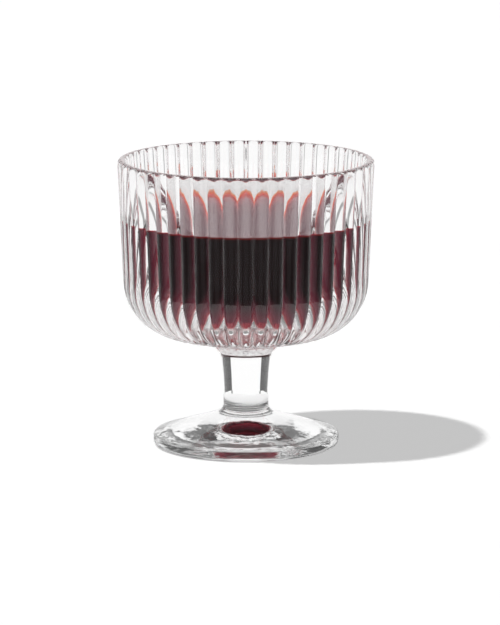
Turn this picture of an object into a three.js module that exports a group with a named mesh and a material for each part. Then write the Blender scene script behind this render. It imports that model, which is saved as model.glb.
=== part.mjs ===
import * as THREE from 'three';

// Aperitif glass: a ribbed bowl on a short stem and a round foot, with the drink that it holds.
// Millimetres, +Z up. The origin is the centre of the ring that the foot stands on.

// Foot, with the neck that the stem is fused to
const FOOT_RADIUS = 29.7;
const FOOT_HEIGHT = 13.2;
const FOOT_EDGE_HEIGHT = 3.7;
const FOOT_BASE_ROUND = 1.7;
const FOOT_EDGE_ROUND = 1.1;
const FOOT_TOP_SLOPE = 17.5; // degrees
const FOOT_NECK_ROUND = 3.3;
const FOOT_RECESS_RADIUS = 23;
const FOOT_RECESS_DEPTH = 3.2;

// Stem
const STEM_LENGTH = 15;
const STEM_WAIST_RADIUS = 7.25;
const STEM_TOP_RADIUS = 8.1;

// Bowl, measured over the crests of its ribs
const BOWL_HEIGHT = 64.1;
const RIM_RADIUS = 41;
const WALL_DRAFT = 2.6; // degrees
const RIM_THICKNESS = 2.9;
const FLOOR_WALL_THICKNESS = 6; // at the level of the floor
const CORNER_ROUND = 18.6;
const UNDERSIDE_SLOPE = 12.4; // degrees
const COLLAR_RADIUS = 10.95;
const COLLAR_HEIGHT = 4.5;
const COLLAR_ROUND = 0.8;
const COLLAR_NECK = 1.2;
const COLLAR_NECK_ROUND = 2.5;
const LIP_OUTER_ROUND = 1.3;
const LIP_INNER_ROUND = 0.8;
const FLOOR_THICKNESS = 16.3;
const FLOOR_DISH = 1.2;
const INNER_CORNER_ROUND = 14;

// Ribs down the outside of the bowl
const RIB_COUNT = 51;
const RIB_DEPTH = 1.5;
const RIB_TIP_RADIUS = 12;
const RIB_FULL_RADIUS = 26;

// Drink
const DRINK_DEPTH = 27.7;
const DRINK_CLEARANCE = 0.3;

// Facets
const FACETS_PER_RIB = 4;
const PLAIN_FACETS = 52;
const ARC_STEP = 18; // degrees, on the round corners of an outline
const EDGE_ARC_STEP = 36; // degrees, on small edges
const LIP_ARC_STEP = 47; // degrees, on the lip
const CURVE_STEPS = 4;

// Heights at which the pieces are stacked
const STEM_SEAT = FOOT_HEIGHT;
const BOWL_SEAT = STEM_SEAT + STEM_LENGTH;
const RIM_TOP = BOWL_SEAT + BOWL_HEIGHT;
const BOWL_FLOOR = BOWL_SEAT + FLOOR_THICKNESS;
const DRINK_TOP = BOWL_FLOOR + DRINK_DEPTH;

const slopeOf = (degrees) => Math.tan(THREE.MathUtils.degToRad(degrees));

const glass = () => new THREE.MeshStandardMaterial({
  color: 0xe9eeee,
  roughness: 0.03,
  metalness: 0,
  transparent: true,
  opacity: 0.35,
});

const redDrink = () => new THREE.MeshStandardMaterial({
  color: 0x4a0814,
  roughness: 0.05,
  metalness: 0,
});

// A corner of an outline, with the radius of the arc that rounds it
function corner(radius, height, round = 0, arcStep = ARC_STEP) {
  return { at: new THREE.Vector2(radius, height), round, arcStep };
}

// How far the rounding of each corner reaches along its two legs
function roundingReach(corners) {
  return corners.map((here, index) => {
    if (here.round === 0) {
      return 0;
    }
    const back = corners[index - 1].at.clone().sub(here.at);
    const ahead = corners[index + 1].at.clone().sub(here.at);
    return here.round / Math.tan(back.angleTo(ahead) / 2);
  });
}

// The points of an outline, in one list for each corner. A rounded corner becomes an arc, which is
// made smaller where two arcs would not fit on the leg between their corners.
function roundedOutline(corners) {
  const reach = roundingReach(corners);
  return corners.map((here, index) => {
    if (here.round === 0) {
      return [here.at];
    }
    const back = corners[index - 1].at.clone().sub(here.at);
    const ahead = corners[index + 1].at.clone().sub(here.at);
    const backRoom = back.length() / (reach[index] + reach[index - 1]);
    const aheadRoom = ahead.length() / (reach[index] + reach[index + 1]);
    const fit = Math.min(1, backRoom, aheadRoom);
    const halfAngle = back.angleTo(ahead) / 2;
    const turn = -Math.sign(back.cross(ahead)) * (Math.PI - 2 * halfAngle);
    back.normalize();
    ahead.normalize();
    const towardsCentre = back.clone().add(ahead).normalize();
    const start = here.at.clone().addScaledVector(back, fit * reach[index]);
    const centreReach = (fit * here.round) / Math.sin(halfAngle);
    const centre = here.at.clone().addScaledVector(towardsCentre, centreReach);
    const steps = Math.ceil(Math.abs(turn) / THREE.MathUtils.degToRad(here.arcStep));
    const points = [];
    for (let step = 0; step <= steps; step += 1) {
      points.push(start.clone().rotateAround(centre, (turn * step) / steps));
    }
    return points;
  });
}

// A body of revolution about +Z, from an outline that runs from the axis to the axis
function turned(outline, facets) {
  const geometry = new THREE.LatheGeometry(outline, facets);
  geometry.rotateX(Math.PI / 2);
  return geometry;
}

function named(name, geometry, material) {
  const mesh = new THREE.Mesh(geometry, material);
  mesh.name = name;
  return mesh;
}

// The foot: a shallow dish below, a ring to stand on, a rounded edge, a sloping top and a neck
function footGeometry() {
  const recess = [];
  for (let step = 0; step <= CURVE_STEPS; step += 1) {
    const share = step / CURVE_STEPS;
    recess.push(corner(FOOT_RECESS_RADIUS * share, FOOT_RECESS_DEPTH * (1 - share * share)));
  }
  const neckFall = (FOOT_RADIUS - STEM_WAIST_RADIUS) * slopeOf(FOOT_TOP_SLOPE);
  return turned(roundedOutline([
    ...recess,
    corner(FOOT_RADIUS, 0, FOOT_BASE_ROUND, EDGE_ARC_STEP),
    corner(FOOT_RADIUS, FOOT_EDGE_HEIGHT, FOOT_EDGE_ROUND, EDGE_ARC_STEP),
    corner(STEM_WAIST_RADIUS, FOOT_EDGE_HEIGHT + neckFall, FOOT_NECK_ROUND),
    corner(STEM_WAIST_RADIUS, FOOT_HEIGHT),
    corner(0, FOOT_HEIGHT),
  ]).flat(), PLAIN_FACETS);
}

// The stem: a short round rod that widens towards the bowl
function stemGeometry() {
  const middleHeight = (STEM_SEAT + BOWL_SEAT) / 2;
  const side = new THREE.QuadraticBezierCurve(
    new THREE.Vector2(STEM_WAIST_RADIUS, STEM_SEAT),
    new THREE.Vector2(STEM_WAIST_RADIUS, middleHeight),
    new THREE.Vector2(STEM_TOP_RADIUS, BOWL_SEAT),
  );
  return turned([
    new THREE.Vector2(0, STEM_SEAT),
    ...side.getPoints(CURVE_STEPS),
    new THREE.Vector2(0, BOWL_SEAT),
  ], PLAIN_FACETS);
}

// Radius, at a height, of a face set back from the outer face of the wall
function wallRadius(height, setBack) {
  return RIM_RADIUS - setBack - (RIM_TOP - height) * slopeOf(WALL_DRAFT);
}

// Radius of the inside at a height. The wall thickens evenly from the rim to the floor.
function innerRadius(height) {
  const share = (RIM_TOP - height) / (RIM_TOP - BOWL_FLOOR);
  return wallRadius(height, THREE.MathUtils.lerp(RIM_THICKNESS, FLOOR_WALL_THICKNESS, share));
}

// Height of the sloping underside of the bowl at a radius
function undersideHeight(radius) {
  return BOWL_SEAT + COLLAR_HEIGHT + (radius - COLLAR_RADIUS) * slopeOf(UNDERSIDE_SLOPE);
}

// Where the underside's slope meets the line of the wall
function outerCorner() {
  const wallSlope = slopeOf(WALL_DRAFT);
  const drop = RIM_TOP - undersideHeight(RIM_RADIUS);
  const inset = (drop * wallSlope) / (1 - wallSlope * slopeOf(UNDERSIDE_SLOPE));
  return corner(RIM_RADIUS - inset, undersideHeight(RIM_RADIUS - inset), CORNER_ROUND);
}

// How far the round face of a rib lies below its crest at an angle round the bowl, as a share of its depth
function ribFall(angle) {
  const pitch = (2 * Math.PI) / RIB_COUNT;
  const halfPitch = (pitch * wallRadius(DRINK_TOP, 0)) / 2;
  const groovesSine = (2 * RIB_DEPTH * halfPitch) / (halfPitch ** 2 + RIB_DEPTH ** 2);
  const fromCrest = angle / pitch - Math.round(angle / pitch);
  const arcFall = (sine) => 1 - Math.sqrt(1 - sine * sine);
  return arcFall(2 * fromCrest * groovesSine) / arcFall(groovesSine);
}

// Radius of the ribbed outside at a point of the smooth outline. The ribs fade out at their tips. On the
// lip they keep the line of the wall, so that the lip's rounding cuts each of them off in a cap.
function ribbedRadius(point, angle) {
  const onLip = point.y > RIM_TOP - 2 * LIP_OUTER_ROUND;
  const crest = onLip ? wallRadius(point.y, 0) : point.x;
  const share = THREE.MathUtils.smoothstep(point.x, RIB_TIP_RADIUS, RIB_FULL_RADIUS);
  return Math.min(point.x, crest - share * RIB_DEPTH * ribFall(angle));
}

// The bowl: collar, ribbed outside, rounded lip and smooth inside
function bowlGeometry() {
  const outside = [
    corner(0, BOWL_SEAT),
    corner(STEM_TOP_RADIUS, BOWL_SEAT),
    corner(STEM_TOP_RADIUS, BOWL_SEAT + COLLAR_NECK, COLLAR_NECK_ROUND, EDGE_ARC_STEP),
    corner(COLLAR_RADIUS, undersideHeight(COLLAR_RADIUS), COLLAR_ROUND, EDGE_ARC_STEP),
    corner(RIB_TIP_RADIUS, undersideHeight(RIB_TIP_RADIUS)),
    outerCorner(),
    corner(RIM_RADIUS, RIM_TOP, LIP_OUTER_ROUND, LIP_ARC_STEP),
  ];
  const inside = [
    corner(innerRadius(RIM_TOP), RIM_TOP, LIP_INNER_ROUND, LIP_ARC_STEP),
    corner(innerRadius(BOWL_FLOOR), BOWL_FLOOR, INNER_CORNER_ROUND),
    corner(0, BOWL_FLOOR - FLOOR_DISH),
  ];
  const lists = roundedOutline([...outside, ...inside]);
  const outline = lists.flat();
  const outsideCount = lists.slice(0, outside.length).flat().length;
  const geometry = turned(outline, RIB_COUNT * FACETS_PER_RIB);
  const position = geometry.getAttribute('position');
  for (let index = 0; index < position.count; index += 1) {
    const row = index % outline.length;
    const point = outline[row];
    if (row < outsideCount && point.x > 0) {
      const x = position.getX(index);
      const y = position.getY(index);
      const scale = ribbedRadius(point, Math.atan2(x, -y)) / point.x;
      position.setXY(index, x * scale, y * scale);
    }
  }
  return geometry;
}

// The drink: it fills the inside of the bowl up to its level
function drinkGeometry() {
  const floor = BOWL_FLOOR + DRINK_CLEARANCE;
  return turned(roundedOutline([
    corner(0, floor - FLOOR_DISH),
    corner(innerRadius(floor) - DRINK_CLEARANCE, floor, INNER_CORNER_ROUND - DRINK_CLEARANCE),
    corner(innerRadius(DRINK_TOP) - DRINK_CLEARANCE, DRINK_TOP),
    corner(0, DRINK_TOP),
  ]).flat(), PLAIN_FACETS);
}

const aperitifGlass = new THREE.Group();
aperitifGlass.add(
  named('foot', footGeometry(), glass()),
  named('stem', stemGeometry(), glass()),
  named('bowl', bowlGeometry(), glass()),
  named('drink', drinkGeometry(), redDrink()),
);

export default aperitifGlass;
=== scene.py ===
# %% [markdown]
# A ribbed aperitif glass, half full
#
# This lesson dresses a low footed glass: a bowl pressed with ribs, a short stem, a round foot and the
# dark red drink. Clear glass shows everything at once: its outside, its inside, the drink behind it and
# the room behind that. So the shapes come first, and they have to be true, because every streak of
# light in the picture is bent by them.

# %% Load the construction model
import math

import bpy
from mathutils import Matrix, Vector


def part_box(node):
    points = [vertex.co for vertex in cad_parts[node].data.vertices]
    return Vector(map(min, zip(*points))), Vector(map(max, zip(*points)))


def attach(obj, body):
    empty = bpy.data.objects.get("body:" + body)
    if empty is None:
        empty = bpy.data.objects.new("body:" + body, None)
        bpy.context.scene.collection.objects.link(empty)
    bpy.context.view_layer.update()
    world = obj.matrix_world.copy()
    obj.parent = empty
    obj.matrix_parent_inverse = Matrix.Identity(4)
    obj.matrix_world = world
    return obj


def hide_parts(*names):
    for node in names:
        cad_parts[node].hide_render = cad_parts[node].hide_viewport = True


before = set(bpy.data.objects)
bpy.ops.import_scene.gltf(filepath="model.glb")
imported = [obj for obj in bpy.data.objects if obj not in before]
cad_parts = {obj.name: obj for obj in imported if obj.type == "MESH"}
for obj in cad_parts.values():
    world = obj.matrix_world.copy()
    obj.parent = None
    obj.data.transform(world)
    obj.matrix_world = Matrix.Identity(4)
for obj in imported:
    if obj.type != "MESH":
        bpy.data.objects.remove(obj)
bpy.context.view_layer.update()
MM = 0.001
print("pieces of the construction model:", sorted(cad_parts))

# %% [markdown]
# Where the pieces meet
#
# The construction model already says where each piece starts and ends, so those heights and radii are
# read from it. A shape that is dressed from the same numbers needs no fitting afterwards.

# %% Read heights and radii
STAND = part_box("foot")[0][2]
STEM_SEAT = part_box("stem")[0][2]
BOWL_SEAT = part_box("bowl")[0][2]
RIM_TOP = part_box("bowl")[1][2]
DRINK_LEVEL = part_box("drink")[1][2]
FOOT_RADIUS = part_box("foot")[1][0]
STEM_TOP_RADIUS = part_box("stem")[1][0]
BOWL_REACH = -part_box("bowl")[0][1]
print("rim at", round(RIM_TOP / MM, 1), "mm, drink at", round(DRINK_LEVEL / MM, 1), "mm")

# %% [markdown]
# Round things are turned
#
# Every piece of the glass is round, so one outline, turned about the upright axis, makes it. The outline
# is a short list of corners, and each corner may be rounded by an arc. That is how a mould maker draws
# a glass, and it keeps the numbers few. A Screw modifier could turn the outline too, but building the
# rings in code lets each band of faces be numbered, so that a finish can be given to it later.

# %% Outline with rounded corners
ARC_STEP = math.radians(5)


def rounded_outline(corners):
    """Points of an outline through (radius, height, rounding) corners, in one list for each corner."""
    lists = []
    for index, (radius, height, rounding) in enumerate(corners):
        here = Vector((radius, height))
        if rounding == 0:
            lists.append([here])
            continue
        back = (Vector(corners[index - 1][:2]) - here).normalized()
        ahead = (Vector(corners[index + 1][:2]) - here).normalized()
        half_angle = back.angle(ahead) / 2
        start = here + back * rounding / math.tan(half_angle)
        centre = here + (back + ahead).normalized() * rounding / math.sin(half_angle)
        turn = math.copysign(math.pi - 2 * half_angle, back.y * ahead.x - back.x * ahead.y)
        steps = math.ceil(abs(turn) / ARC_STEP)
        arm = start - centre
        arc = []
        for step in range(steps + 1):
            angle = turn * step / steps
            across = arm.x * math.cos(angle) - arm.y * math.sin(angle)
            up = arm.x * math.sin(angle) + arm.y * math.cos(angle)
            arc.append(centre + Vector((across, up)))
        lists.append(arc)
    return lists


print("a rounded corner has a point every", round(math.degrees(ARC_STEP)), "degrees or less")


# %% Turn an outline into a closed mesh
def turned(name, outline, sides):
    """A closed mesh, turned from an outline that starts and ends on the axis; it keeps its band numbers."""
    rings = outline[1:-1]
    verts = [(0, 0, outline[0].y)]
    for point in rings:
        for side in range(sides):
            angle = 2 * math.pi * side / sides
            verts.append((point.x * math.cos(angle), point.x * math.sin(angle), point.y))
    verts.append((0, 0, outline[-1].y))
    last = len(verts) - 1
    faces = []
    bands = []
    for band in range(len(rings) + 1):
        for side in range(sides):
            after = (side + 1) % sides
            low = 1 + (band - 1) * sides
            high = 1 + band * sides
            if band == 0:
                faces.append((0, high + after, high + side))
            elif band == len(rings):
                faces.append((low + side, low + after, last))
            else:
                faces.append((low + side, low + after, high + after, high + side))
            bands.append(band)
    mesh = bpy.data.meshes.new(name)
    mesh.from_pydata(verts, [], faces)
    mesh.shade_smooth()
    mesh.attributes.new("band", "INT", "FACE").data.foreach_set("value", bands)
    return mesh


# %% Sharp edges, and an object for a mesh
def sharpen(mesh, sides, is_sharp):
    """Marks the edges that a rule picks as sharp in the shading. The rule sees each end's ring and side."""
    sharp = mesh.attributes.get("sharp_edge") or mesh.attributes.new("sharp_edge", "BOOLEAN", "EDGE")
    for edge in mesh.edges:
        start, end = sorted(divmod(vertex - 1, sides) for vertex in edge.vertices)
        if is_sharp(*start, *end):
            sharp.data[edge.index].value = True


def round_rings(*rings):
    """A rule for sharpen: the edges that run round these rings."""
    return lambda ring, side, next_ring, next_side: ring == next_ring and ring in rings


def piece(name, mesh):
    """An object at the origin that holds the mesh."""
    made = bpy.data.objects.new(name, mesh)
    bpy.context.scene.collection.objects.link(made)
    return made


# %% [markdown]
# Soft waves
#
# Pressed glass cools against iron. Its skin keeps soft waves a few millimetres long and finer ripples on
# them, and they make every line seen through the glass tremble. The foot has the most, because the glass
# flows furthest to reach its edge. At hundredths of a millimetre they are too low for a mesh, so they go
# into the shading as a bump. Clouds in a drink have the same soft, drawn-out look. So the effect is built
# once, as a shader group with its own inputs, and each finish takes it at its own size.

# %% Nodes in one line
def feed(tree, socket, value):
    """Gives a node's input another socket to read, or a constant."""
    if isinstance(value, bpy.types.NodeSocket):
        tree.links.new(value, socket)
    else:
        socket.default_value = value


def math_in(tree, operation, first, second=0.0):
    """A Math node in a tree; each input is a number or a socket."""
    node = tree.nodes.new("ShaderNodeMath")
    node.operation = operation
    feed(tree, node.inputs[0], first)
    feed(tree, node.inputs[1], second)
    return node.outputs[0]


def add_sockets(tree, in_out, kinds):
    """Named inputs or outputs of a node tree, each of its own kind."""
    for name, kind in kinds.items():
        tree.interface.new_socket(name, in_out=in_out, socket_type="NodeSocket" + kind)


# %% Soft waves
RIPPLES_PER_WAVE = 3.4
RIPPLE_SHARE = 0.18


def soft_waves():
    """A shader group that puts out the height of soft waves, with finer ripples on them, at a place."""
    group = bpy.data.node_groups.new("soft_waves", "ShaderNodeTree")
    add_sockets(group, "INPUT", {"Place": "Vector", "Wave Size": "Float", "Flow": "Float"})
    add_sockets(group, "OUTPUT", {"Height": "Float"})
    given = group.nodes.new("NodeGroupInput").outputs
    result = group.nodes.new("NodeGroupOutput")
    frequency = math_in(group, "DIVIDE", 1.0, given["Wave Size"])
    layers = []
    for scale in (1.0, RIPPLES_PER_WAVE):
        noise = group.nodes.new("ShaderNodeTexNoise")
        noise.inputs["Detail"].default_value = 0.0
        feed(group, noise.inputs["Vector"], given["Place"])
        feed(group, noise.inputs["Scale"], math_in(group, "MULTIPLY", frequency, scale))
        feed(group, noise.inputs["Distortion"], given["Flow"])
        layers.append(noise.outputs["Fac"])
    ripples = math_in(group, "MULTIPLY", layers[1], RIPPLE_SHARE)
    feed(group, result.inputs["Height"], math_in(group, "ADD", layers[0], ripples))
    return group


waves = soft_waves()
print("shader group:", waves.name, [item.name for item in waves.interface.items_tree])

# %% [markdown]
# Clear glass
#
# Pressed glass is polished by fire, so it is smooth, and at this thickness it has no colour of its own. A
# Glass BSDF could show it, but a Principled shader with full transmission can be exported as well.
#
# Where the drink wets the bowl, light goes from glass straight into liquid and bends much less, so those
# faces get the ratio of the two indices. Where two pieces are fused there is no surface at all, so the
# faces that close the meshes there are fully transparent.

# %% Helpers for a finish
WHITE = (1, 1, 1, 1)


def new_material(name):
    """A material, its tree and its Principled shader."""
    material = bpy.data.materials.new(name)
    material.use_nodes = True
    return material, material.node_tree, material.node_tree.nodes["Principled BSDF"]


def waves_in(tree, size, flow):
    """The soft waves in a material, at a size and with a flow of its own."""
    place = tree.nodes.new("ShaderNodeTexCoord")
    group = tree.nodes.new("ShaderNodeGroup")
    group.node_tree = waves
    group.inputs["Wave Size"].default_value = size
    group.inputs["Flow"].default_value = flow
    feed(tree, group.inputs["Place"], place.outputs["Object"])
    return group.outputs["Height"]


def glass_material(name, index, wave_size, wave_height, flow):
    """Clear smooth glass with waves of a given size, height and flow in its skin."""
    material, tree, shader = new_material(name)
    shader.inputs["Base Color"].default_value = WHITE
    shader.inputs["Roughness"].default_value = 0
    shader.inputs["IOR"].default_value = index
    shader.inputs["Transmission Weight"].default_value = 1
    bump = tree.nodes.new("ShaderNodeBump")
    bump.inputs["Strength"].default_value = 1
    bump.inputs["Distance"].default_value = wave_height
    feed(tree, bump.inputs["Height"], waves_in(tree, wave_size, flow))
    feed(tree, shader.inputs["Normal"], bump.outputs["Normal"])
    return material


# %% Glass finishes
GLASS_INDEX = 1.52
DRINK_INDEX = 1.345
BOWL_WAVE_SIZE = 7 * MM
BOWL_WAVE_HEIGHT = 0.05 * MM
BOWL_FLOW = 0.0
FOOT_WAVE_SIZE = 9 * MM
FOOT_WAVE_HEIGHT = 0.09 * MM
FOOT_FLOW = 1.2

bowl_waves = (BOWL_WAVE_SIZE, BOWL_WAVE_HEIGHT, BOWL_FLOW)
foot_waves = (FOOT_WAVE_SIZE, FOOT_WAVE_HEIGHT, FOOT_FLOW)
clear_glass = glass_material("clear_pressed_glass", GLASS_INDEX, *bowl_waves)
foot_glass = glass_material("flowed_glass", GLASS_INDEX, *foot_waves)
wetted_glass = glass_material("wetted_glass", GLASS_INDEX / DRINK_INDEX, *bowl_waves)
fused_joint, _, fused_shader = new_material("fused_joint")
fused_shader.inputs["Alpha"].default_value = 0
print("finishes:", [m.name for m in (clear_glass, foot_glass, wetted_glass, fused_joint)])

# %% [markdown]
# The foot
#
# The foot is a thick disc: a sloping top, a rounded edge and a shallow dome below, so that it stands on
# a ring. The dome matters for the looks: a glance that goes in through the sloping top is turned up the
# stem by it, and so the drink shows as a red jewel in the foot. A flat underside would be simpler to turn,
# but it would send that glance another way.

# %% Foot outline
FOOT_SIDES = 240
FOOT_EDGE_HEIGHT = 3.7 * MM
FOOT_BASE_ROUND = 1.7 * MM
FOOT_EDGE_ROUND = 1.1 * MM
FOOT_TOP_SLOPE = math.radians(17.5)
FOOT_NECK_ROUND = 3.3 * MM
FOOT_RECESS_RADIUS = 23 * MM
FOOT_RECESS_DEPTH = 3.2 * MM
STEM_WAIST_RADIUS = 7.25 * MM
RECESS_STEPS = 24


def foot_outline():
    """The outline of the foot, from the top of its dome round the edge to the seat of the stem."""
    recess = []
    for step in range(RECESS_STEPS + 1):
        share = step / RECESS_STEPS
        recess.append((FOOT_RECESS_RADIUS * share, STAND + FOOT_RECESS_DEPTH * (1 - share**2), 0))
    neck_height = FOOT_EDGE_HEIGHT + (FOOT_RADIUS - STEM_WAIST_RADIUS) * math.tan(FOOT_TOP_SLOPE)
    return sum(rounded_outline(recess + [
        (FOOT_RADIUS, STAND, FOOT_BASE_ROUND),
        (FOOT_RADIUS, STAND + FOOT_EDGE_HEIGHT, FOOT_EDGE_ROUND),
        (STEM_WAIST_RADIUS, STAND + neck_height, FOOT_NECK_ROUND),
        (STEM_WAIST_RADIUS, STEM_SEAT, 0),
        (0, STEM_SEAT, 0),
    ]), [])


foot_points = foot_outline()
print("foot outline:", len(foot_points), "points")


# %% Foot
def finish_with_joints(mesh, finish, joint_bands):
    """Gives a mesh its finish, and the bands where it is fused to another piece the finish of a joint."""
    mesh.materials.append(finish)
    mesh.materials.append(fused_joint)
    fused = [int(item.value in joint_bands) for item in mesh.attributes["band"].data]
    mesh.polygons.foreach_set("material_index", fused)


foot_mesh = turned("round_foot", foot_points, FOOT_SIDES)
foot_cap = len(foot_points) - 2
sharpen(foot_mesh, FOOT_SIDES, round_rings(foot_cap - 1))
finish_with_joints(foot_mesh, foot_glass, (foot_cap,))
foot = piece("round_foot", foot_mesh)
print("foot:", len(foot_mesh.polygons), "faces")

# %% [markdown]
# The stem
#
# A short solid rod, a little wider at the bowl. Its side is a parabola that starts upright at the waist,
# where a straight cone would show a corner. Both of its ends are fused, so both get the transparent finish.

# %% Stem
STEM_SIDES = 160
STEM_STEPS = 20


def stem_outline():
    """The outline of the stem, from its seat on the foot to its seat under the bowl."""
    points = [Vector((0, STEM_SEAT))]
    for step in range(STEM_STEPS + 1):
        share = step / STEM_STEPS
        radius = STEM_WAIST_RADIUS + (STEM_TOP_RADIUS - STEM_WAIST_RADIUS) * share**2
        points.append(Vector((radius, STEM_SEAT + (BOWL_SEAT - STEM_SEAT) * share)))
    points.append(Vector((0, BOWL_SEAT)))
    return points


stem_points = stem_outline()
stem_mesh = turned("stem_rod", stem_points, STEM_SIDES)
stem_top = len(stem_points) - 2
sharpen(stem_mesh, STEM_SIDES, round_rings(0, stem_top - 1))
finish_with_joints(stem_mesh, clear_glass, (0, stem_top))
stem = piece("stem_rod", stem_mesh)
print("stem:", len(stem_mesh.polygons), "faces")

# %% [markdown]
# The bowl before its ribs
#
# First the bowl is turned smooth: collar, sloping underside, round corner, wall, lip and inside. The wall
# thickens towards the floor, because a plunger presses the inside and has to draw out again.
#
# Each point also learns how the ribs will cut it. The rib share is 1 where a rib has its full depth and
# 0 at its tip near the collar and on the whole inside. The way out of the glass is square to the outline,
# so the ribs keep their depth round the corner. On the lip the way is level and the ribs follow the line
# of the wall, so that the lip's rounding cuts each of them off in a small round cap.

# %% Sizes of the bowl
RIB_COUNT = 51
RIB_DEPTH = 1.5 * MM
RIB_TIP_RADIUS = 12 * MM
RIB_FULL_RADIUS = 26 * MM
WALL_DRAFT = math.radians(2.6)
RIM_THICKNESS = 2.9 * MM
FLOOR_WALL_THICKNESS = 6 * MM
CORNER_ROUND = 18.6 * MM
UNDERSIDE_SLOPE = math.radians(12.4)
COLLAR_RADIUS = 10.95 * MM
COLLAR_HEIGHT = 4.5 * MM
COLLAR_ROUND = 0.8 * MM
COLLAR_NECK = 1.2 * MM
COLLAR_NECK_ROUND = 2.5 * MM
LIP_OUTER_ROUND = 1.3 * MM
LIP_INNER_ROUND = 1.3 * MM
FLOOR_THICKNESS = 16.3 * MM
FLOOR_DISH = 1.2 * MM
INNER_CORNER_ROUND = 14 * MM
MENISCUS_RISE = 1.0 * MM

RIM_RADIUS = BOWL_REACH + LIP_OUTER_ROUND * (math.tan(WALL_DRAFT) + 1 / math.cos(WALL_DRAFT) - 1)
BOWL_FLOOR = BOWL_SEAT + FLOOR_THICKNESS
WET_EDGE = DRINK_LEVEL + MENISCUS_RISE
print("bowl:", round(2 * RIM_RADIUS / MM, 1), "mm across, floor at", round(BOWL_FLOOR / MM, 1), "mm")


# %% Lines of the bowl
def wall_radius(height, set_back):
    """The radius of the leaning wall at a height, set back from its outside."""
    return RIM_RADIUS - set_back - (RIM_TOP - height) * math.tan(WALL_DRAFT)


def inner_radius(height):
    """The radius of the inside at a height; the wall thickens evenly from the rim to the floor."""
    share = (RIM_TOP - height) / (RIM_TOP - BOWL_FLOOR)
    return wall_radius(height, RIM_THICKNESS + (FLOOR_WALL_THICKNESS - RIM_THICKNESS) * share)


def underside_height(radius):
    """The height of the sloping underside at a radius."""
    return BOWL_SEAT + COLLAR_HEIGHT + (radius - COLLAR_RADIUS) * math.tan(UNDERSIDE_SLOPE)


def outer_corner():
    """The corner where the line of the underside meets the line of the wall."""
    lean = math.tan(WALL_DRAFT)
    drop = RIM_TOP - underside_height(RIM_RADIUS)
    inset = drop * lean / (1 - lean * math.tan(UNDERSIDE_SLOPE))
    return (RIM_RADIUS - inset, underside_height(RIM_RADIUS - inset), CORNER_ROUND)


lower_corner = outer_corner()
print("lower corner:", round(lower_corner[0] / MM, 1), "mm out,", round(lower_corner[1] / MM, 1), "mm up")

# %% Bowl outline
UNDERSIDE_STEPS = 8


def bowl_outline():
    """The outline's points and how many of them are on the outside."""
    outside = [
        (0, BOWL_SEAT, 0),
        (STEM_TOP_RADIUS, BOWL_SEAT, 0),
        (STEM_TOP_RADIUS, BOWL_SEAT + COLLAR_NECK, COLLAR_NECK_ROUND),
        (COLLAR_RADIUS, underside_height(COLLAR_RADIUS), COLLAR_ROUND),
    ]
    half_turn = (math.pi / 2 - UNDERSIDE_SLOPE - WALL_DRAFT) / 2
    arc_start = lower_corner[0] - CORNER_ROUND * math.tan(half_turn) * math.cos(UNDERSIDE_SLOPE)
    for step in range(UNDERSIDE_STEPS):
        radius = RIB_TIP_RADIUS + (arc_start - RIB_TIP_RADIUS) * step / UNDERSIDE_STEPS
        outside.append((radius, underside_height(radius), 0))
    outside.append(lower_corner)
    outside.append((RIM_RADIUS, RIM_TOP, LIP_OUTER_ROUND))
    inside = [
        (inner_radius(RIM_TOP), RIM_TOP, LIP_INNER_ROUND),
        (inner_radius(WET_EDGE), WET_EDGE, 0),
        (inner_radius(BOWL_FLOOR), BOWL_FLOOR, INNER_CORNER_ROUND),
        (0, BOWL_FLOOR - FLOOR_DISH, 0),
    ]
    lists = rounded_outline(outside + inside)
    return sum(lists, []), sum(len(points) for points in lists[: len(outside)])


bowl_points, outside_count = bowl_outline()
print("bowl outline:", len(bowl_points), "points,", outside_count, "of them outside")

# %% Smooth bowl
SIDES_PER_RIB = 16
BOWL_SIDES = RIB_COUNT * SIDES_PER_RIB


def smoothstep(value, low, high):
    """A share from 0 to 1 that starts and ends gently."""
    share = min(max((value - low) / (high - low), 0), 1)
    return share * share * (3 - 2 * share)


def rib_rule(number):
    """A rib's crest and share of depth at a point of the outline, and the way out of the glass there."""
    point = bowl_points[number]
    if number >= outside_count:
        return {"crest": point.x, "rib_share": 0.0, "way_out": 1.0, "way_up": 0.0}
    if point.y > RIM_TOP - 2 * LIP_OUTER_ROUND:
        return {"crest": wall_radius(point.y, 0), "rib_share": 1.0, "way_out": 1.0, "way_up": 0.0}
    along = (bowl_points[number + 1] - bowl_points[number - 1]).normalized()
    share = smoothstep(point.x, RIB_TIP_RADIUS, RIB_FULL_RADIUS)
    return {"crest": point.x, "rib_share": share, "way_out": along.y, "way_up": -along.x}


smooth_bowl = turned("smooth_bowl", bowl_points, BOWL_SIDES)
rules = [rib_rule(number) for number in range(1, len(bowl_points) - 1)]
for name in ("crest", "rib_share", "way_out", "way_up"):
    values = [0.0] + [rule[name] for rule in rules for side in range(BOWL_SIDES)] + [0.0]
    smooth_bowl.attributes.new(name, "FLOAT", "POINT").data.foreach_set("value", values)
print("smooth bowl:", len(smooth_bowl.polygons), "faces")

# %% [markdown]
# Sharp grooves, wet and fused faces
#
# Two ribs meet in a sharp groove, and smooth shading across it would look like jelly, so its edges are
# marked as sharp. The faces that the drink wets, and the face that the stem is fused to, are marked too,
# because they get finishes of their own. A mark on the mesh goes through the node tree with it.

# %% Marks on the smooth bowl
CONTACT_GAP = 0.02 * MM

front_side = BOWL_SIDES * 3 // 4
groove_side = (front_side + SIDES_PER_RIB // 2) % SIDES_PER_RIB
first_ribbed = next(number for number, point in enumerate(bowl_points) if point.x > RIB_TIP_RADIUS)
wet_band = outside_count + next(
    number for number, point in enumerate(bowl_points[outside_count:]) if point.y < WET_EDGE + CONTACT_GAP
)


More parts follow.
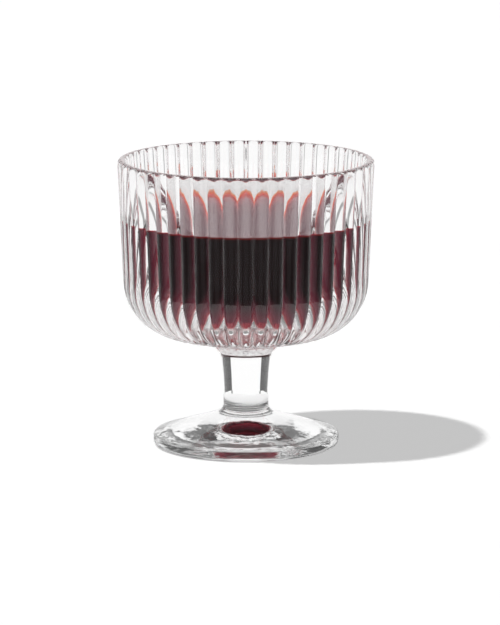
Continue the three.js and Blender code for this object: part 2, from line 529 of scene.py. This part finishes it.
def seat_or_groove(ring, side, next_ring, next_side):
    """A rule for sharpen: the edge round the seat of the stem, and the grooves between the ribs."""
    if ring == next_ring:
        return ring == 0
    return first_ribbed <= ring < outside_count - 1 and side % SIDES_PER_RIB == groove_side


def mark_faces(name, is_marked):
    """Marks the faces whose band a rule picks."""
    marks = [is_marked(item.value) for item in smooth_bowl.attributes["band"].data]
    smooth_bowl.attributes.new(name, "BOOLEAN", "FACE").data.foreach_set("value", marks)
    print(name, "faces:", sum(marks))


sharpen(smooth_bowl, BOWL_SIDES, seat_or_groove)
mark_faces("fused", lambda band: band == 0)
mark_faces("wetted", lambda band: band >= wet_band)

# %% [markdown]
# Ribs by a rule
#
# All the ribs are one rule: seen from above, the wall is a row of round faces that meet in grooves. A
# Geometry Nodes tree moves each point into the glass by how far it lies from the nearest crest. The
# count and the depth are inputs, so the pattern can be tried out without touching the mesh. Modelling
# one rib and repeating it would leave a seam at every groove, so the rule is the better way.

# %% Vectors and attributes in a tree
def vector_in(tree, operation, first, second=None):
    """A Vector Math node in a tree; its second input is a vector, or the factor of a scaling."""
    node = tree.nodes.new("ShaderNodeVectorMath")
    node.operation = operation
    feed(tree, node.inputs[0], first)
    if second is not None:
        feed(tree, node.inputs["Scale" if operation == "SCALE" else 1], second)
    return node.outputs["Value" if operation == "LENGTH" else "Vector"]


def split_in(tree, vector):
    """The X, Y and Z of a vector in a tree."""
    node = tree.nodes.new("ShaderNodeSeparateXYZ")
    feed(tree, node.inputs[0], vector)
    return node.outputs["X"], node.outputs["Y"], node.outputs["Z"]


def combine_in(tree, x, y, z):
    """A vector in a tree from its X, Y and Z."""
    node = tree.nodes.new("ShaderNodeCombineXYZ")
    for slot, value in zip("XYZ", (x, y, z)):
        feed(tree, node.inputs[slot], value)
    return node.outputs[0]


def attribute_in(tree, name, kind="FLOAT"):
    """A named attribute of the mesh in a tree."""
    node = tree.nodes.new("GeometryNodeInputNamedAttribute")
    node.data_type = kind
    node.inputs["Name"].default_value = name
    return node.outputs["Attribute"]


# %% Depth of a rib
def arc_fall(tree, sine):
    """How far a round face of radius 1 has fallen away at the sine of an angle."""
    square = math_in(tree, "MULTIPLY", sine, sine)
    cosine = math_in(tree, "SQRT", math_in(tree, "SUBTRACT", 1, square))
    return math_in(tree, "SUBTRACT", 1, cosine)


def rib_move(tree, given, x, y):
    """How far a point has to move out to lie on its rib: 0 on a crest and negative in a groove."""
    angle = math_in(tree, "ARCTAN2", x, math_in(tree, "MULTIPLY", y, -1))
    round_share = math_in(tree, "DIVIDE", angle, 2 * math.pi)
    turns = math_in(tree, "MULTIPLY", round_share, given["Rib Count"])
    from_crest = math_in(tree, "SUBTRACT", turns, math_in(tree, "ROUND", turns))
    half_pitches = math_in(tree, "MULTIPLY", from_crest, 2)
    sine = math_in(tree, "MULTIPLY", half_pitches, given["Rib Roundness"])
    bow = math_in(tree, "DIVIDE", arc_fall(tree, sine), arc_fall(tree, given["Rib Roundness"]))
    depth = math_in(tree, "MULTIPLY", given["Rib Depth"], attribute_in(tree, "rib_share"))
    ribbed = math_in(tree, "SUBTRACT", attribute_in(tree, "crest"), math_in(tree, "MULTIPLY", bow, depth))
    across = math_in(tree, "MULTIPLY", x, x)
    along = math_in(tree, "MULTIPLY", y, y)
    radius = math_in(tree, "SQRT", math_in(tree, "ADD", across, along))
    return math_in(tree, "MINIMUM", math_in(tree, "SUBTRACT", ribbed, radius), 0)


# %% Rib tree
REGIONS = {"Glass": None, "Wetted Glass": "wetted", "Fused Joint": "fused"}


def rib_tree():
    """A tree that cuts the ribs into a smooth bowl and gives each region its finish."""
    tree = bpy.data.node_groups.new("press_ribs", "GeometryNodeTree")
    tree.is_modifier = True
    add_sockets(tree, "INPUT", {"Geometry": "Geometry"})
    add_sockets(tree, "INPUT", {"Rib Count": "Float", "Rib Depth": "Float", "Rib Roundness": "Float"})
    add_sockets(tree, "INPUT", {name: "Material" for name in REGIONS})
    add_sockets(tree, "OUTPUT", {"Geometry": "Geometry"})
    given = tree.nodes.new("NodeGroupInput").outputs
    result = tree.nodes.new("NodeGroupOutput")
    place = tree.nodes.new("GeometryNodeInputPosition")
    x, y, _ = split_in(tree, place.outputs[0])
    level = vector_in(tree, "NORMALIZE", combine_in(tree, x, y, 0))
    way_out = vector_in(tree, "SCALE", level, attribute_in(tree, "way_out"))
    way_up = combine_in(tree, 0, 0, attribute_in(tree, "way_up"))
    way = vector_in(tree, "ADD", way_out, way_up)
    move = tree.nodes.new("GeometryNodeSetPosition")
    feed(tree, move.inputs["Geometry"], given["Geometry"])
    feed(tree, move.inputs["Offset"], vector_in(tree, "SCALE", way, rib_move(tree, given, x, y)))
    real = tree.nodes.new("GeometryNodeRealizeInstances")
    feed(tree, real.inputs[0], move.outputs[0])
    shape = real.outputs[0]
    for name, region in REGIONS.items():
        finish = tree.nodes.new("GeometryNodeSetMaterial")
        feed(tree, finish.inputs["Geometry"], shape)
        feed(tree, finish.inputs["Material"], given[name])
        if region:
            feed(tree, finish.inputs["Selection"], attribute_in(tree, region, "BOOLEAN"))
        shape = finish.outputs[0]
    feed(tree, result.inputs["Geometry"], shape)
    return tree


press_ribs = rib_tree()
print("rib tree:", len(press_ribs.nodes), "nodes")


# %% Press the ribs
def with_nodes(obj, tree, values):
    """The plain mesh that a node tree makes of an object."""
    modifier = obj.modifiers.new(tree.name, "NODES")
    modifier.node_group = tree
    for item in tree.interface.items_tree:
        if item.in_out == "INPUT" and item.name in values:
            modifier[item.identifier] = values[item.name]
    evaluated = obj.evaluated_get(bpy.context.evaluated_depsgraph_get())
    mesh = bpy.data.meshes.new_from_object(evaluated)
    obj.modifiers.remove(modifier)
    return mesh


half_pitch = math.pi * wall_radius(DRINK_LEVEL, 0) / RIB_COUNT
rib_roundness = 2 * RIB_DEPTH * half_pitch / (half_pitch**2 + RIB_DEPTH**2)
bowl = piece("ribbed_bowl", smooth_bowl)
bowl.data = with_nodes(bowl, press_ribs, {
    "Rib Count": float(RIB_COUNT),
    "Rib Depth": RIB_DEPTH,
    "Rib Roundness": rib_roundness,
    "Glass": clear_glass,
    "Wetted Glass": wetted_glass,
    "Fused Joint": fused_joint,
})
print("ribbed bowl:", len(bowl.data.polygons), "faces,", [m.name for m in bowl.data.materials])

# %% [markdown]
# The drink
#
# The drink fills the bowl and climbs the wall a little: that thin wedge, the meniscus, lets light through
# and glows as the row of red crowns above the drink. It falls away from the wall as a natural curve does,
# by the same share on each equal step. A flat top would be simpler, but it would have no crowns.

# %% Drink
DRINK_SIDES = 208
MENISCUS_LENGTH = 0.88 * MM
MENISCUS_REACH = 5 * MENISCUS_LENGTH
MENISCUS_STEPS = 16
SURFACE_STEPS = 10


def drink_outline():
    """The outline of the drink and how many of its points touch the glass."""
    floor = BOWL_FLOOR + CONTACT_GAP
    edge_radius = inner_radius(WET_EDGE) - CONTACT_GAP
    corners = [
        (0, floor - FLOOR_DISH, 0),
        (inner_radius(floor) - CONTACT_GAP, floor, INNER_CORNER_ROUND - CONTACT_GAP),
        (edge_radius, WET_EDGE, 0),
    ]
    points = sum(rounded_outline(corners), [])
    wall_count = len(points)
    for step in range(1, MENISCUS_STEPS + 1):
        away = MENISCUS_REACH * (step / MENISCUS_STEPS) ** 2
        rise = MENISCUS_RISE * math.exp(-away / MENISCUS_LENGTH)
        points.append(Vector((edge_radius - away, DRINK_LEVEL + rise)))
    last = points[-1]
    for step in range(1, SURFACE_STEPS):
        share = step / SURFACE_STEPS
        points.append(Vector((last.x * (1 - share), last.y)))
    points.append(Vector((0, last.y)))
    return points, wall_count


drink_points, wall_count = drink_outline()
drink_mesh = turned("red_drink", drink_points, DRINK_SIDES)
sharpen(drink_mesh, DRINK_SIDES, round_rings(wall_count - 2))
open_faces = [item.value >= wall_count - 1 for item in drink_mesh.attributes["band"].data]
drink_mesh.attributes.new("open_surface", "FLOAT", "FACE").data.foreach_set("value", open_faces)
drink = piece("red_drink", drink_mesh)
print("drink:", len(drink_mesh.polygons), "faces,", sum(open_faces), "of them open to the air")

# %% [markdown]
# The colour of the drink
#
# A liquid takes light away along the path through it, so a Volume Absorption gives thin places a bright
# red and thick places nearly black. A coloured surface would be as red in the middle as at the edge. A
# faint tint in soft clouds warms the thinnest places. On its open top the drink bends light as a liquid
# does; where it touches the glass the wetted finish already does that, so there its own index is 1.
#
# A mixed drink is a little cloudy, and sends back some light from just under its skin. Looked at straight
# on there is next to none of it, but where the eye looks along the skin it adds up to a plum red. A Volume
# Scatter would do this too, at many times the samples, so a very faint glow stands in for it, which a
# Layer Weight brings up towards the edges.

# %% Mixes and ranges in a tree
def mix_in(tree, mask, without, within, kind="FLOAT"):
    """A Mix node in a tree: the first value outside the mask, the second one within it."""
    node = tree.nodes.new("ShaderNodeMix")
    node.data_type = kind
    for slot, value in (("Factor", mask), ("A", without), ("B", within)):
        feed(tree, node.inputs[slot], value)
    return node.outputs["Result"]


def range_in(tree, value, before, after, course="LINEAR"):
    """A Map Range node in a tree: turns one range of a value into another one."""
    node = tree.nodes.new("ShaderNodeMapRange")
    node.interpolation_type = course
    feed(tree, node.inputs["Value"], value)
    for slot, limit in zip(("From Min", "From Max", "To Min", "To Max"), (*before, *after)):
        node.inputs[slot].default_value = limit
    return node.outputs["Result"]


# %% Drink finish
DRINK_ABSORBS = (120.0, 1500.0, 2400.0)
PALE_CLOUD = (1.0, 0.85, 0.78, 1)
DARK_CLOUD = (1.0, 0.62, 0.52, 1)
CLOUD_SIZE = 11 * MM
CLOUD_FLOW = 1.6
CLEAR_HAZE_GLOW = (0.008, 0.0045, 0.005, 1)
EDGE_HAZE_GLOW = (0.08, 0.015, 0.027, 1)
HAZE_GLOW_FROM = 0.2
HAZE_GLOW_FULL = 0.5


def drink_material():
    """A clear liquid that takes light away inside, with faint clouds, and a painted glow for the light its
    haze sends back.
    """
    material, tree, shader = new_material("red_drink")
    clouds = mix_in(tree, waves_in(tree, CLOUD_SIZE, CLOUD_FLOW), PALE_CLOUD, DARK_CLOUD, "RGBA")
    feed(tree, shader.inputs["Base Color"], clouds)
    # Painted light: a faint glow, brighter where the eye looks along the skin, stands in for the light the
    # cloudy drink sends back.
    view = tree.nodes.new("ShaderNodeLayerWeight")
    edge = range_in(tree, view.outputs["Facing"], (HAZE_GLOW_FROM, HAZE_GLOW_FULL), (0.0, 1.0))
    feed(tree, shader.inputs["Emission Color"], mix_in(tree, edge, CLEAR_HAZE_GLOW, EDGE_HAZE_GLOW, "RGBA"))
    shader.inputs["Emission Strength"].default_value = 1
    shader.inputs["Roughness"].default_value = 0
    shader.inputs["Transmission Weight"].default_value = 1
    shader.inputs["IOR"].default_value = DRINK_INDEX
    where = tree.nodes.new("ShaderNodeAttribute")
    where.attribute_name = "open_surface"
    feed(tree, shader.inputs["IOR"], range_in(tree, where.outputs["Fac"], (0.0, 1.0), (1.0, DRINK_INDEX)))
    volume = tree.nodes.new("ShaderNodeVolumeAbsorption")
    most = max(DRINK_ABSORBS)
    volume.inputs["Color"].default_value = (*(1 - part / most for part in DRINK_ABSORBS), 1)
    volume.inputs["Density"].default_value = most
    feed(tree, tree.nodes["Material Output"].inputs["Volume"], volume.outputs[0])
    return material


drink_mesh.materials.append(drink_material())
print("drink finish:", drink_mesh.materials[0].name)

# %% [markdown]
# Who rides on what
#
# Nothing on a glass moves, so all four pieces ride on the one body. Each takes the place of the plain
# solid of the same piece.

# %% Tie the pieces to the construction model
for made, node, slot in (
    (foot, "foot", "clear_glass"),
    (stem, "stem", "clear_glass"),
    (bowl, "bowl", "clear_glass"),
    (drink, "drink", "red_drink"),
):
    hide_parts(node)
    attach(made, "root")
    print(made.name, "stands for", node)

# %% [markdown]
# The table
#
# A pale plain table that comes out white, except in the shadow of the glass. About half of its brightness
# is a glow of its own, as from a light table, which keeps the shadow from going dark.
#
# Seen through the glass, the table has an end. Just round the foot its glow is turned down, as a painted
# shade of the glass, and a hand's breadth behind it the backdrop takes over. A Light Path tells the rays
# that come through glass from those that are mirrored by it. Cycles counts a ray through glass as glossy
# too, so the mirrored ones are the glossy rays without those.

# %% Table finish
TABLE_COLOUR = 0.8
TABLE_GLOW = 0.55
TABLE_GLOW_UNDER = 0.2
SHADE_NEAR = 20 * MM
SHADE_FAR = 130 * MM
TABLE_BACK = 95 * MM
TABLE_FRONT = 170 * MM


def ray_kinds(tree):
    """The Light Path, and masks of the rays through glass and of those that are only mirrored by it."""
    path = tree.nodes.new("ShaderNodeLightPath")
    through = path.outputs["Is Transmission Ray"]
    mirrored = math_in(tree, "SUBTRACT", path.outputs["Is Glossy Ray"], through)
    return path, through, math_in(tree, "MAXIMUM", mirrored, 0.0)


def table_finish():
    """A pale glowing table that, for rays from the glass, has painted shade round the foot and ends a
    little way off.
    """
    material = bpy.data.materials.new("pale_table")
    material.use_nodes = True
    tree = material.node_tree
    tree.nodes.clear()
    path, through, mirrored = ray_kinds(tree)
    spot = tree.nodes.new("ShaderNodeTexCoord")
    distance = vector_in(tree, "LENGTH", spot.outputs["Object"])
    # Painted shade: for rays from the glass, the glow dims towards the foot, where the glass would shade
    # the table.
    painted_shade = range_in(
        tree, distance, (SHADE_NEAR, SHADE_FAR), (TABLE_GLOW_UNDER, TABLE_GLOW), "SMOOTHSTEP"
    )
    diffuse = tree.nodes.new("ShaderNodeBsdfDiffuse")
    diffuse.inputs["Color"].default_value = (TABLE_COLOUR, TABLE_COLOUR, TABLE_COLOUR, 1)
    glow = tree.nodes.new("ShaderNodeEmission")
    feed(tree, glow.inputs["Strength"], mix_in(tree, path.outputs["Is Camera Ray"], painted_shade, TABLE_GLOW))
    lit = tree.nodes.new("ShaderNodeAddShader")
    feed(tree, lit.inputs[0], diffuse.outputs[0])
    feed(tree, lit.inputs[1], glow.outputs[0])
    unseen = 0.0
    for kind, reach in ((through, TABLE_BACK), (mirrored, TABLE_FRONT)):
        beyond = math_in(tree, "GREATER_THAN", distance, reach)
        unseen = math_in(tree, "ADD", math_in(tree, "MULTIPLY", beyond, kind), unseen)
    clear = tree.nodes.new("ShaderNodeBsdfTransparent")
    choice = tree.nodes.new("ShaderNodeMixShader")
    for slot, value in enumerate((unseen, lit.outputs[0], clear.outputs[0])):
        feed(tree, choice.inputs[slot], value)
    out = tree.nodes.new("ShaderNodeOutputMaterial")
    feed(tree, out.inputs["Surface"], choice.outputs[0])
    return material


pale_table = table_finish()
print("table finish:", len(pale_table.node_tree.nodes), "nodes")

# %% Table
TABLE_RADIUS = 3.0
TABLE_DROP = 0.05 * MM

table_mesh = bpy.data.meshes.new("table")
table_corners = ((-1, -1), (1, -1), (1, 1), (-1, 1))
table_top = [(x * TABLE_RADIUS, y * TABLE_RADIUS, STAND - TABLE_DROP) for x, y in table_corners]
table_mesh.from_pydata(table_top, [], [(0, 1, 2, 3)])
table_mesh.materials.append(pale_table)
table = piece("table", table_mesh)
print("table:", 2 * TABLE_RADIUS, "m across")

# %% [markdown]
# The lamp
#
# One lamp, high on the left and a little to the front, throws the shadow to the right. It is small in the
# sky, so the shadow has a clear edge that softens with distance. An area lamp could do the same, but of a
# Sun only the direction matters, which is what the shadow tells. It is hidden from the glass itself, which
# would show it as a hard white dot on every rib.

# %% Lamp
LAMP_FROM = Vector((-37.3, -11.5, 92.5))
LAMP_STRENGTH = 2.0
LAMP_SOFTNESS = math.radians(2.2)

sun = bpy.data.lights.new("key_lamp", "SUN")
sun.energy = LAMP_STRENGTH
sun.angle = LAMP_SOFTNESS
lamp = bpy.data.objects.new("key_lamp", sun)
lamp.rotation_euler = LAMP_FROM.to_track_quat("Z", "Y").to_euler()
lamp.visible_glossy = False
lamp.visible_transmission = False
bpy.context.scene.collection.objects.link(lamp)
lamp_height = math.degrees(math.atan2(LAMP_FROM.z, LAMP_FROM.xy.length))
print("lamp:", round(lamp_height), "degrees above the table")

# %% [markdown]
# The room in the glass
#
# Glass has no looks of its own: its dark lines are dark things in the room. To take a picture of glass, a
# white backdrop is set up with black cards beside it, just out of the picture. The cards draw the two bars
# in the stem and the dark edges of the ribs. Real cards would have to be modelled and kept out of view, so
# the room is painted on the world, by direction: white straight behind, a grey strip where the backdrop
# ends, cards towards the corners, light at the sides and a dim front. The camera itself sees plain white,
# and the table gets no light from the room, because the lamp and its own glow are enough.

# %% Steps of the room
SOFT_EDGE = 0.012
RAMP_MIDDLE = 0.5


def steps_ramp(tree, slant, first, changes):
    """A level that starts at first, straight behind, and changes to each new level at a given angle."""
    node = tree.nodes.new("ShaderNodeValToRGB")
    feed(tree, node.inputs["Fac"], slant)
    stops = []
    before = first
    for angle, level in changes:
        place = math.tan(angle)
        stops += [(place - SOFT_EDGE, before), (place + SOFT_EDGE, level)]
        before = level
    while len(node.color_ramp.elements) < len(stops):
        node.color_ramp.elements.new(RAMP_MIDDLE)
    for element, (place, level) in zip(node.color_ramp.elements, stops):
        element.position = place
        element.color = (level, level, level, 1)
    return node.outputs["Color"]


# %% Room
BACK_WHITE = 1.0
BACK_DARK = 0.4
SIDE_LIGHT = 1.0
FRONT_DIM = 0.22
FRONT_FADE = (-0.1, 0.5)
WHITE_REACH = math.radians(26)
DARK_REACH = math.radians(31)
CARD_FROM = math.radians(28)
CARD_LEVEL = 0.07
MIRRORED_CARD = 0.3
CARD_TOP = math.radians(50)
CARD_FOOT = math.radians(-9.2)
ROOM_ON_TABLE = 0.0


def room():
    """A world painted by direction, for rays through the glass and for rays mirrored by it."""
    world = bpy.data.worlds.new("studio")
    world.use_nodes = True
    tree = world.node_tree
    tree.nodes.clear()
    sky = tree.nodes.new("ShaderNodeTexCoord")
    x, y, z = split_in(tree, sky.outputs["Generated"])
    side = math_in(tree, "ABSOLUTE", x)
    depth = math_in(tree, "ABSOLUTE", y)
    shorter = math_in(tree, "MINIMUM", side, depth)
    longer = math_in(tree, "MAXIMUM", side, depth)
    slant = math_in(tree, "DIVIDE", shorter, longer)
    backdrop = steps_ramp(tree, slant, BACK_WHITE, ((WHITE_REACH, BACK_DARK), (DARK_REACH, SIDE_LIGHT)))
    cards = steps_ramp(tree, slant, BACK_WHITE, ((CARD_FROM, CARD_LEVEL),))
    above_foot = math_in(tree, "GREATER_THAN", z, math.sin(CARD_FOOT))
    below_top = math_in(tree, "LESS_THAN", z, math.sin(CARD_TOP))
    seen_through = mix_in(tree, math_in(tree, "MULTIPLY", above_foot, below_top), backdrop, cards)
    ahead = range_in(tree, y, FRONT_FADE, (FRONT_DIM, BACK_WHITE), "SMOOTHSTEP")
    mirrored_cards = steps_ramp(tree, slant, BACK_WHITE, ((CARD_FROM, MIRRORED_CARD),))
    in_mirror = math_in(tree, "MULTIPLY", ahead, mirrored_cards)
    path, through, mirrored = ray_kinds(tree)
    level = mix_in(tree, mirrored, BACK_WHITE, in_mirror)
    level = mix_in(tree, through, level, seen_through)
    level = mix_in(tree, path.outputs["Is Diffuse Ray"], level, ROOM_ON_TABLE)
    back = tree.nodes.new("ShaderNodeBackground")
    back.inputs["Color"].default_value = WHITE
    feed(tree, back.inputs["Strength"], level)
    out = tree.nodes.new("ShaderNodeOutputWorld")
    feed(tree, out.inputs["Surface"], back.outputs[0])
    return world


bpy.context.scene.world = room()
print("room:", len(bpy.context.scene.world.node_tree.nodes), "nodes")

# %% [markdown]
# Camera
#
# A long lens from well back, looking a little down over the rim, so that the drink's surface shows as a
# narrow band. The long lens keeps the walls upright and the rim's ellipse flat.

# %% Camera
IMAGE_HEIGHT = 625
FOCAL_PIXELS = 4612.7
SENSOR_HEIGHT = 24
AXIS_OFFSET = 1.29 * MM
CAMERA_AWAY = 1450 * MM
CAMERA_HEIGHT = 313.3 * MM
AIM_HEIGHT = 42.6 * MM

lens = bpy.data.cameras.new("camera")
lens.sensor_fit = "VERTICAL"
lens.sensor_height = SENSOR_HEIGHT
lens.lens = FOCAL_PIXELS * SENSOR_HEIGHT / IMAGE_HEIGHT
camera = bpy.data.objects.new("camera", lens)
camera.location = (AXIS_OFFSET, -CAMERA_AWAY, CAMERA_HEIGHT)
aim = Vector((AXIS_OFFSET, 0, AIM_HEIGHT)) - camera.location
camera.rotation_euler = aim.to_track_quat("-Z", "Y").to_euler()
bpy.context.scene.collection.objects.link(camera)
bpy.context.scene.camera = camera
camera_tilt = math.degrees(math.asin(-aim.normalized().z))
print("camera:", round(camera_tilt, 1), "degrees down,", round(lens.lens), "mm lens")

# %% [markdown]
# Picture settings
#
# A ray that enters a rib is bent many times before it gets out: outside, inside, drink, inside, outside,
# and the same again on the far wall. Too few bounces would leave black patches, so many are allowed.
# The light that curved glass throws on a table, called caustics, would take very many samples to settle,
# so it is switched off, and the shadow stays even.

# %% Picture settings
GLASS_BOUNCES = 40
MIRROR_BOUNCES = 24

scene = bpy.context.scene
scene.view_settings.view_transform = "Standard"
scene.cycles.caustics_refractive = False
scene.cycles.caustics_reflective = False
scene.cycles.max_bounces = GLASS_BOUNCES
scene.cycles.transmission_bounces = GLASS_BOUNCES
scene.cycles.glossy_bounces = MIRROR_BOUNCES
scene.cycles.transparent_max_bounces = GLASS_BOUNCES
print("bounces:", GLASS_BOUNCES, "through glass,", MIRROR_BOUNCES, "between mirrors")
